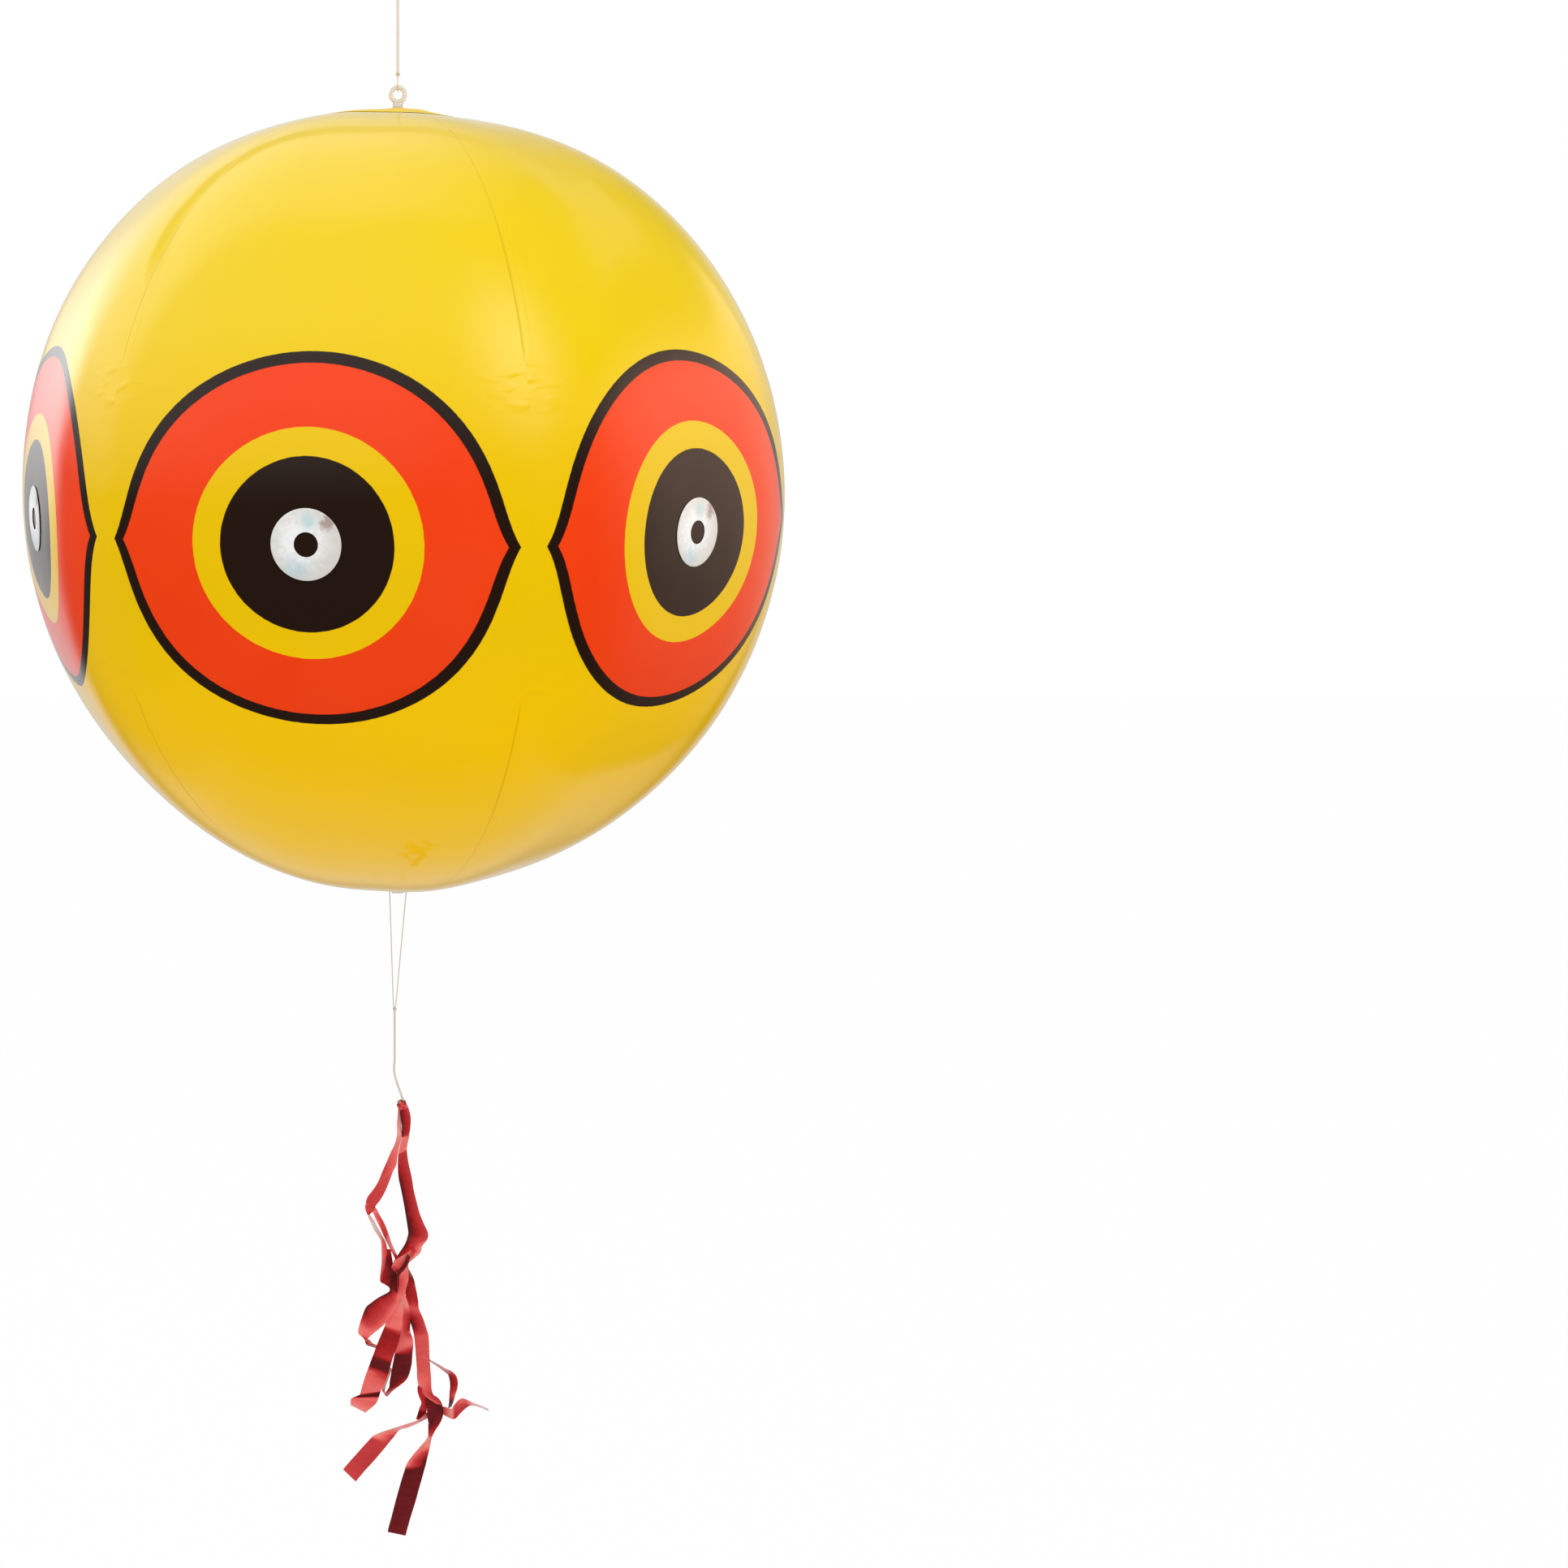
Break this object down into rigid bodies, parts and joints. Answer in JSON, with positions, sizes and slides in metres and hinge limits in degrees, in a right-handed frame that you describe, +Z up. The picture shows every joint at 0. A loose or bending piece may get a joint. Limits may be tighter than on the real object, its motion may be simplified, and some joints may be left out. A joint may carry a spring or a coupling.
{
  "type": "bird scare balloon",
  "caption": "Hanging inflatable ball of welded film gores with printed predator eyes, string hanger, tail of foil ribbons and inflation valve.",
  "frame": {"origin": "inside of the top of the hanging loop, where a hook or nail carries the ball", "axes": "+Z up along the hanging string; the front gore's eye faces -Y, 12.4 degrees to the left; +X to the right seen from the front"},
  "size_m": [0.4054, 0.4014, 0.889],
  "materials": {
    "yellow_film": "gloss",
    "clear_vinyl": "satin",
    "silver_foil": "metallic",
    "red_foil": "metallic",
    "white_string": "matt"
  },
  "bodies": {
    "hang_line": {"hang_loop": "white_string", "hang_loop_knot": "white_string", "hang_cord": "white_string"},
    "eye_line": {"eye_knot": "white_string", "eye_loop": "white_string"},
    "ball": {"gore_1": "yellow_film", "gore_2": "yellow_film", "gore_3": "yellow_film", "gore_4": "yellow_film", "gore_5": "yellow_film", "gore_6": "yellow_film", "eye_sticker_1": "silver_foil", "eye_sticker_2": "silver_foil", "eye_sticker_3": "silver_foil", "eye_sticker_4": "silver_foil", "eye_sticker_5": "silver_foil", "eye_sticker_6": "silver_foil", "top_patch": "yellow_film", "bottom_patch": "yellow_film", "hang_eye": "clear_vinyl", "tail_saddle": "clear_vinyl", "valve_flange": "clear_vinyl"},
    "tail": {"tail_loop": "white_string", "tail_knot": "white_string", "tail_cord": "white_string"},
    "ribbons": {"ribbon_tie": "white_string", "ribbon_left": "red_foil", "ribbon_middle": "red_foil", "ribbon_strand": "red_foil", "ribbon_right": "red_foil", "ribbon_left_loop": "red_foil", "ribbon_left_end": "red_foil", "ribbon_dark_loop": "red_foil", "ribbon_right_loop": "red_foil", "ribbon_short_end": "red_foil", "ribbon_lower_left": "red_foil", "ribbon_bottom": "red_foil", "upper_wrap": "red_foil", "lower_wrap": "red_foil"},
    "valve": {"valve_stem": "clear_vinyl", "valve_flap": "clear_vinyl"},
    "stopper": {"valve_stopper": "clear_vinyl"}
  },
  "joints": [
    {"name": "string_twist", "type": "hinge", "parent": "hang_line", "child": "eye_line", "pos_m": [0, 0, -0.0575], "axis": [0, 0, 1], "continuous": true},
    {"name": "ball_swing", "type": "hinge", "parent": "eye_line", "child": "ball", "pos_m": [0, 0, -0.0705], "axis": [0, 1, 0], "range_deg": [-35, 35]},
    {"name": "tail_swing", "type": "hinge", "parent": "ball", "child": "tail", "pos_m": [0, 0, -0.49582], "axis": [1, 0, 0], "range_deg": [-45, 45]},
    {"name": "ribbon_twirl", "type": "hinge", "parent": "tail", "child": "ribbons", "pos_m": [0.00234, 0, -0.61794], "axis": [0, 0, 1], "continuous": true},
    {"name": "valve_pull", "type": "slide", "parent": "ball", "child": "valve", "axis": [-0.0098, 0.6992, -0.7148], "range_m": [0, 0.012]},
    {"name": "stopper_pull", "type": "slide", "parent": "valve", "child": "stopper", "axis": [-0.0098, 0.6992, -0.7148], "range_m": [0, 0.012]}
  ]
}
